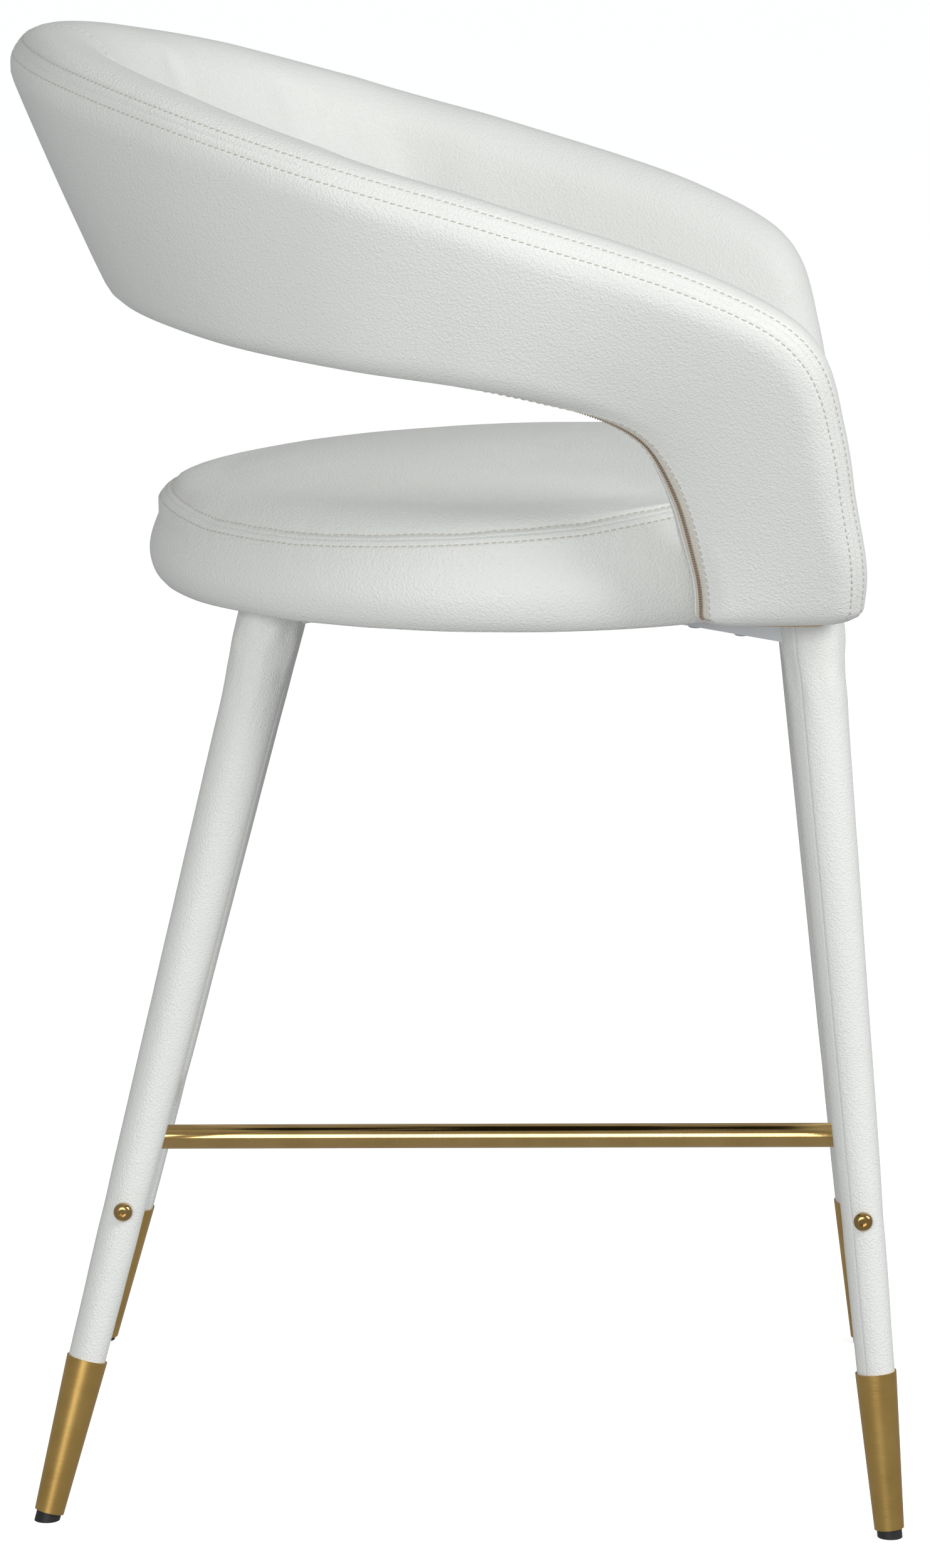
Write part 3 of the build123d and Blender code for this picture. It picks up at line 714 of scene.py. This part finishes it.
coil_normals = base_normals[4:-4, zip_middle]
coil_line = zip_base[4:-4, zip_middle] - coil_normals * 0.5
coil_run = np.concatenate([[0], np.cumsum(np.linalg.norm(np.diff(coil_line, axis=0), axis=1))])
TOOTH_PITCH, TOOTH_LENGTH, TOOTH_RADIUS = 1.6, 3.2, 0.6
coil_verts, coil_faces = [], []


def on_coil(line, s):
    """Value of a line of points at a distance along the zip."""
    return np.array([np.interp(s, coil_run, line[:, k]) for k in range(3)])


for s in np.arange(TOOTH_PITCH, coil_run[-1], TOOTH_PITCH):
    centre, normal = on_coil(coil_line, s), unit(on_coil(coil_normals, s))
    side = np.cross(normal, unit(on_coil(coil_line, s + 1) - centre + 1e-9))
    tooth = [centre + side * t * TOOTH_LENGTH / 2 + normal * (0.5 - 0.6 * t * t)
             for t in (-1, -0.5, 0, 0.5, 1)]
    add_part(coil_verts, coil_faces, tube_along(tooth, [TOOTH_RADIUS * r for r in (0.6, 1, 1.05, 1, 0.6)], 6))
keep(new_mesh("zip_teeth", coil_verts, coil_faces, ZIP_COIL), "cream_zip")


# ---------------------------------------------------------------- seat cushion
def seat_radius(angle):
    """Distance from the seat's centre to its outline, in the direction of an angle."""
    x, y = math.cos(angle), math.sin(angle)
    if SEAT_CENTRE[1] + SEAT_RADIUS * y > SEAT_CORNER_Y:
        return SEAT_RADIUS
    to_side = SEAT_FRONT_HALF_WIDTH / max(abs(x), 1e-6)
    to_front = (SEAT_FRONT_Y - SEAT_CENTRE[1]) / y
    to_front += SEAT_FRONT_BOW * min(abs(to_front * x) / SEAT_FRONT_HALF_WIDTH, 1.0) ** 2 / y
    return soft_min(to_side, to_front, 26.0)


def soft_min(a, b, blend):
    gap = max(blend - abs(a - b), 0.0) / blend
    return min(a, b) - gap * gap * blend / 4


def crown_height(x, y):
    return CROWN_TOP - CROWN_RADIUS + np.sqrt(CROWN_RADIUS**2 - x**2 - (y - CROWN_APEX_Y) ** 2)


def seat_point(angle, inside, height=None):
    reach = seat_radius(angle) - inside
    x, y = SEAT_CENTRE[0] + reach * math.cos(angle), SEAT_CENTRE[1] + reach * math.sin(angle)
    return np.array([x, y, crown_height(x, y) if height is None else height])


SHOULDER_ROWS = 7
# under the cushion: distance inside the outline, height
SEAT_TURN_UNDER = ((14.0, SEAT_BOTTOM), (18.5, UNDERSIDE - 1.5), (22.0, UNDERSIDE + 2), (60.0, UNDERSIDE + 3))


def seat_grid(angles, top_shares, seam_offsets, wall):
    """Rings from the middle of the crown, over the shoulder and the seam, down and under."""
    heights = np.array(SEAT_SEAM_HEIGHTS, float)
    lines = []
    for angle in angles:
        line = []
        reach = seat_radius(angle)
        for share in top_shares:
            line.append(seat_point(angle, reach - (reach - SEAT_SHOULDER) * share))
        shoulder = line[-1]
        edge = seat_point(angle, SEAT_SEAM, 0)
        edge[2] = np.interp(edge[1], heights[:, 0], heights[:, 1])
        outwards = unit(seat_point(angle, 0, 0) - seat_point(angle, 10, 0))
        down = outwards * SEAM_FALL[0] + np.array([0, 0, SEAM_FALL[1]])
        start = edge + down * seam_offsets[0]
        knee = start + down * (shoulder[2] - 1.5 - start[2]) / SEAM_FALL[1]
        for t in np.linspace(0, 1, SHOULDER_ROWS + 2)[1:-1]:
            line.append((1 - t) ** 2 * shoulder + 2 * t * (1 - t) * knee + t * t * start)
        for offset in seam_offsets:
            line.append(edge + down * offset)
        below = edge[2] + (down * seam_offsets[-1])[2]
        for inside, share in wall:
            line.append(seat_point(angle, inside, SEAT_BOTTOM + (below - SEAT_BOTTOM) * share))
        for inside, height in SEAT_TURN_UNDER:
            line.append(seat_point(angle, inside, height))
        lines.append(line)
    return np.array(lines).transpose(1, 0, 2)


def seat_wall(count):
    knots = np.linspace(0, 1, len(SEAT_WALL))
    return spline(knots, np.array(SEAT_WALL), np.linspace(0, 1, count))


SEAT_SEAM_OFFSETS = np.array([-7, -6, -5, -4, -2.6, -1.3, -0.6, 0, 0.6, 1.3, 2.6, 4, 5, 6, 7])
COARSE_WALL_ROWS, FINE_WALL_ROWS, CROWN_ROWS = 7, 16, 40


def seat_rows(shares, offsets, wall_rows):
    """A running number for each ring: crown to 1, shoulder to 2, the seam at 2, then wall and underside."""
    shoulder = 1 + np.arange(1, SHOULDER_ROWS + 1) / (SHOULDER_ROWS + 1)
    under = 3.1 + np.arange(len(SEAT_TURN_UNDER)) / len(SEAT_TURN_UNDER)
    wall = 2.1 + np.arange(wall_rows) / wall_rows
    return np.concatenate([shares, shoulder, 2 + offsets * SEAM_SPAN / SEAT_STITCH_ROW, wall, under])


def crown_up(normals):
    """The seat's normals, turned round if those of the crown point down."""
    return -normals if np.sum(normals[:CROWN_ROWS, :, 2]) < 0 else normals


SEAM_SPAN = 0.06                # running number from the seam to a row of stitches
coarse_angles = np.arange(150) * math.tau / 150
coarse_shares = np.linspace(0.10, 1, 14)
coarse_offsets = SEAT_STITCH_ROW * np.array([-1.0, 0.0, 1.0])
seat_coarse = seat_grid(coarse_angles, coarse_shares, coarse_offsets, seat_wall(COARSE_WALL_ROWS))
seat_pins = np.zeros(seat_coarse.shape[:2], bool)
seat_pins[len(coarse_shares) + SHOULDER_ROWS + 1] = True
seat_pins[-5:] = True
seat_moved = puff("seat_cloth", seat_coarse, seat_pins, pressure=1.6, cap=2.2, growth=0.001)

fine_angles = np.arange(420) * math.tau / 420
fine_shares = np.linspace(0.02, 1, 46)
seat = seat_grid(fine_angles, fine_shares, SEAT_SEAM_OFFSETS, seat_wall(FINE_WALL_ROWS))
coarse_rows = seat_rows(coarse_shares, coarse_offsets, COARSE_WALL_ROWS)
fine_rows = seat_rows(fine_shares, SEAT_SEAM_OFFSETS, FINE_WALL_ROWS)
by_angle = np.array([wrapped_spline(coarse_angles, row, fine_angles, math.tau) for row in seat_moved])
by_row = spline(coarse_rows, by_angle.reshape(len(coarse_rows), -1), np.maximum(fine_rows, coarse_rows[0]))
by_row *= smooth_step(fine_rows / CALM_MIDDLE)[:, None]
seat = seat + by_row.reshape(seat.shape)
seat_normals = crown_up(grid_normals(seat))
first_seam = len(fine_shares) + SHOULDER_ROWS
seam_rows = slice(first_seam, first_seam + len(SEAT_SEAM_OFFSETS))
seat_height = grid_noise(seat, 75.0, 11) * 0.5
seat_height[seam_rows] += seam_profile(SEAT_SEAM_OFFSETS, SEAT_STITCH_ROW)[:, None]
round_seat = np.stack([np.cos(fine_angles), np.sin(fine_angles), 0 * fine_angles], axis=-1)
ripple = grid_noise(round_seat * 226, 7.0, 5)
distance_rows = np.abs(fine_rows - 2) / SEAM_SPAN * SEAT_STITCH_ROW
seat_height += ripple[None, :] * (np.exp(-(((distance_rows - 8.0) / 8.0) ** 2)) * 0.22)[:, None]
seat_height[-len(SEAT_TURN_UNDER):] = 0
seat = seat + seat_normals * seat_height[..., None]
seat_faces = grid_faces(*seat.shape[:2]) + [cap[::-1] for cap in end_caps(*seat.shape[:2])]
cushion = new_mesh("seat_cover", seat.reshape(-1, 3), seat_faces, LEATHER)
keep(cushion, "white_leather", "seat_cushion")
seat_normals = crown_up(grid_normals(seat))
verts, faces = [], []
for offset in (-SEAT_STITCH_ROW, SEAT_STITCH_ROW):
    ring = first_seam + int(np.flatnonzero(SEAT_SEAM_OFFSETS == offset)[0])
    loop = np.vstack([seat[ring], seat[ring, :1]])
    stitch_row(loop, np.vstack([seat_normals[ring], seat_normals[ring, :1]]), verts, faces)
keep(new_mesh("seat_stitches", verts, faces, THREAD), "white_leather")


# ---------------------------------------------------------------- legs and footrest
def leg_axes(end, side):
    """Foot and unit axis of a leg, with two directions across it; the first points away from its joint."""
    (x, y), (slope_x, slope_y) = LEG_FEET[end], LEG_SLOPES[end]
    foot = np.array([side * x, y, 0.0])
    axis = unit(np.array([side * slope_x, slope_y, 1.0]))
    across, towards = WRAP_JOINT_FACES[end]
    away = -np.array([side * across, towards, 0.0])
    first = unit(away - axis * (away @ axis))
    return foot, axis, first, np.cross(axis, first)


def wrap_radius(distance):
    beyond = np.maximum(distance - WRAP_RADII_AT[1], 0)
    widening, length = WRAP_RADII[1] - WRAP_RADII[0], WRAP_RADII_AT[1] - WRAP_RADII_AT[0]
    return np.interp(distance, WRAP_RADII_AT, WRAP_RADII) + beyond * widening / length


def leg_wrap(name, end, side, seed):
    """Leather sleeve glued round a leg, with its joint on the inner side, slack at the top."""
    foot, axis, first, second = leg_axes(end, side)
    seam = np.array([-9, -6, -4, -2.4, -1.2, -0.5, 0, 0.5, 1.2, 2.4, 4, 6, 9]) * math.pi / 180 * 3.2
    angles = np.concatenate([math.pi + seam, np.linspace(math.pi + 0.6, 3 * math.pi - 0.6, 44)])
    from_joint = angles % math.tau - math.pi
    around = first * np.cos(angles)[:, None] + second * np.sin(angles)[:, None]
    top = (UNDERSIDE - wrap_radius(WRAP_RADII_AT[1]) * around[:, 2]) / axis[2]
    shares = np.linspace(0, 1, 170)[:, None]
    distance = WRAP_START + (top - WRAP_START)[None, :] * shares
    arc = from_joint[None, :] * wrap_radius(distance)
    radius = wrap_radius(distance)
    step = 0.55 * np.tanh(arc / 0.9) * np.exp(-np.abs(arc) / 9.0)
    joint = step - 0.75 * np.exp(-((arc / 0.55) ** 2))
    place = np.stack([np.cos(angles) * radius, np.sin(angles) * radius, distance * 0.30], axis=-1)
    slack = smooth_step((distance - SLACK_START) / SLACK_LENGTH)
    creases = grid_noise(place, 9.0, seed) * (0.12 + 1.25 * slack)
    flare = FLARE * smooth_step((distance - FLARE_START) / FLARE_LENGTH)
    bar_pull = -0.25 * np.exp(-(((distance - FOOTREST_AT) / 13.0) ** 2))
    radius = radius + joint + creases + flare + bar_pull
    radius = np.where(distance < FERRULE_TOP, np.minimum(radius, FERRULE_BORE_RADIUS), radius)
    points = foot + axis * distance[..., None] + around[None] * radius[..., None]
    points[..., 2] = np.minimum(points[..., 2], UNDERSIDE)
    faces = grid_faces(*points.shape[:2]) + end_caps(*points.shape[:2])
    wrap = new_mesh(f"leg_sleeve_{name}", points.reshape(-1, 3), faces, WRAP_LEATHER)
    keep(wrap, "white_leather", f"leg_wrap_{name}")


LEGS = [(f"{end}_{word}", end, side) for end in LEG_FEET for word, side in (("left", -1), ("right", 1))]
for seed, (name, end, side) in enumerate(LEGS):
    leg_wrap(name, end, side, 20 + seed)


def footrest_point(end, side):
    foot, axis, _, _ = leg_axes(end, side)
    return foot + axis * FOOTREST_AT


WELD_STEPS, WELD_SIDES, WELD_RIPPLES = 72, 8, 24


def weld_bead(name, centre, direction, bar_direction):
    """Fillet of weld metal where one bar meets another at a right angle."""
    across = unit(np.cross(direction, bar_direction))
    angles = np.arange(WELD_STEPS) * math.tau / WELD_STEPS
    reach = BAR_RADIUS + 0.1
    line = []
    for angle in angles:
        sideways, along_bar = math.sin(angle) * reach, math.cos(angle) * reach
        depth = math.sqrt(max((BAR_RADIUS + 0.5) ** 2 - sideways**2, 0.0))
        line.append(centre + bar_direction * along_bar + across * sideways + direction * depth)
    line = np.array(line)
    ripple = 1.25 + 0.12 * np.sin(angles * WELD_RIPPLES)
    ahead = unit(np.roll(line, -1, axis=0) - np.roll(line, 1, axis=0))
    outwards = unit(line - centre - direction * ((line - centre) @ direction)[:, None])
    turn = np.arange(WELD_SIDES) * math.tau / WELD_SIDES
    up = np.cross(ahead, outwards)
    ring = outwards[:, None] * np.cos(turn)[None, :, None] + up[:, None] * np.sin(turn)[None, :, None]
    verts = (line[:, None] + ring * ripple[:, None, None]).reshape(-1, 3)
    faces = []
    for i in range(WELD_STEPS):
        here, following = i * WELD_SIDES, (i + 1) % WELD_STEPS * WELD_SIDES
        for j in range(WELD_SIDES):
            k = (j + 1) % WELD_SIDES
            faces.append((here + j, here + k, following + k, following + j))
    keep(new_mesh(name, verts, faces, POLISHED_GOLD), "polished_gold")


X_AXIS = np.array([1.0, 0, 0])
front_middle = (footrest_point("front", -1) + footrest_point("front", 1)) / 2
rear_middle = (footrest_point("rear", -1) + footrest_point("rear", 1)) / 2
centre_run = unit(rear_middle - front_middle)
weld_bead("weld_front", front_middle, centre_run, X_AXIS)
weld_bead("weld_rear", rear_middle, -centre_run, X_AXIS)


# ---------------------------------------------------------------- underside trim
verts, faces = [], []
STAPLE_WIDTH, STAPLE_WIRE = 9.0, 0.5
for angle in np.arange(0.0, math.tau, math.tau / 46):
    if abs(math.cos(angle)) > 0.86 and math.sin(angle) < 0.25:
        continue
    centre = seat_point(angle, 24.0, UNDERSIDE - STAPLE_WIRE * 0.6)
    along = np.array([-math.sin(angle + 0.12), math.cos(angle + 0.12), 0.0])
    ends = np.array([0, 0, 2.0])
    line = [centre - along * STAPLE_WIDTH / 2 + ends, centre - along * STAPLE_WIDTH / 2,
            centre + along * STAPLE_WIDTH / 2, centre + along * STAPLE_WIDTH / 2 + ends]
    add_part(verts, faces, tube_along(line, STAPLE_WIRE, 6))
keep(new_mesh("staples", verts, faces, ZINC), "zinc_steel")


# ---------------------------------------------------------------- floor, light and camera
PAPER_GLOW = 0.66
FLOOR_RINGS = (1500.0, 6000.0, 30000.0)


def stage_material(name, colour, roughness):
    look = Look(name, Roughness=roughness, Specular_IOR_Level=0.1)
    look.shader.inputs["Emission Color"].default_value = (1, 1, 1, 1)
    look.shader.inputs["Emission Strength"].default_value = PAPER_GLOW
    look.colour(look.noise(3.0), [c * 0.995 for c in colour], colour)
    return look.material


def studio_floor():
    """Pale round floor, wide enough to fill the picture; it doesn't light the stool from below."""
    angles = np.arange(96) * math.tau / 96
    rings = [np.stack([np.cos(angles), np.sin(angles), 0 * angles], axis=-1) * r for r in FLOOR_RINGS]
    faces = grid_faces(len(rings), 96) + [tuple(range(96))]
    paper = stage_material("paper", (0.93, 0.93, 0.93), 0.9)
    floor = new_mesh("studio_floor", np.array(rings).reshape(-1, 3), faces, paper)
    floor.visible_diffuse = floor.visible_glossy = False
    floor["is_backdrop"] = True


def area_light(name, place, target, size, power):
    data = bpy.data.lights.new(name, "AREA")
    data.shape = "RECTANGLE"
    data.size, data.size_y = size
    data.energy = power
    lamp = bpy.data.objects.new(name, data)
    lamp.location = place
    lamp.rotation_euler = (Vector(target) - Vector(place)).to_track_quat("-Z", "Y").to_euler()
    bpy.context.collection.objects.link(lamp)
    lamp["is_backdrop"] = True


studio_floor()
area_light("overhead", (-0.3, 0.1, 3.4), (0, 0, 0.5), (2.6, 2.6), 2)
area_light("key", (-1.5, -3.2, 2.7), (0, 0, 0.6), (1.8, 1.8), 92)
area_light("fill", (-3.7, 0.6, 1.3), (0, 0, 0.6), (2.0, 2.0), 64)

world = bpy.data.worlds.new("studio")
world.use_nodes = True
world.node_tree.nodes["Background"].inputs["Color"].default_value = (0.97, 0.985, 1.0, 1)
world.node_tree.nodes["Background"].inputs["Strength"].default_value = 0.36
bpy.context.scene.world = world
bpy.context.scene.view_settings.view_transform = "Standard"

CAMERA_PLACE = (-3.75, -0.1075, 1.1786)
CAMERA_YAW, CAMERA_PITCH, CAMERA_ROLL = 0.02832, 0.1959, 0.00321
CAMERA_LENS = 135.95


def add_camera():
    ahead = Vector((math.cos(CAMERA_PITCH) * math.cos(CAMERA_YAW),
                    math.cos(CAMERA_PITCH) * math.sin(CAMERA_YAW), -math.sin(CAMERA_PITCH)))
    right = ahead.cross(Vector((0, 0, 1))).normalized()
    up = right.cross(ahead)
    rolled_right = right * math.cos(CAMERA_ROLL) + up * math.sin(CAMERA_ROLL)
    rolled_up = rolled_right.cross(ahead)
    data = bpy.data.cameras.new("camera")
    data.sensor_width = 36.0
    data.sensor_fit = "AUTO"
    data.lens = CAMERA_LENS
    camera = bpy.data.objects.new("camera", data)
    turn = Matrix((rolled_right, rolled_up, -ahead)).transposed()
    camera.matrix_world = Matrix.Translation(CAMERA_PLACE) @ turn.to_4x4()
    bpy.context.collection.objects.link(camera)
    bpy.context.scene.camera = camera


add_camera()

sizes = {"cad": CAD_BOX, "visual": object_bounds()}
{key: [[float(v) for v in corner] for corner in box] for key, box in sizes.items()}
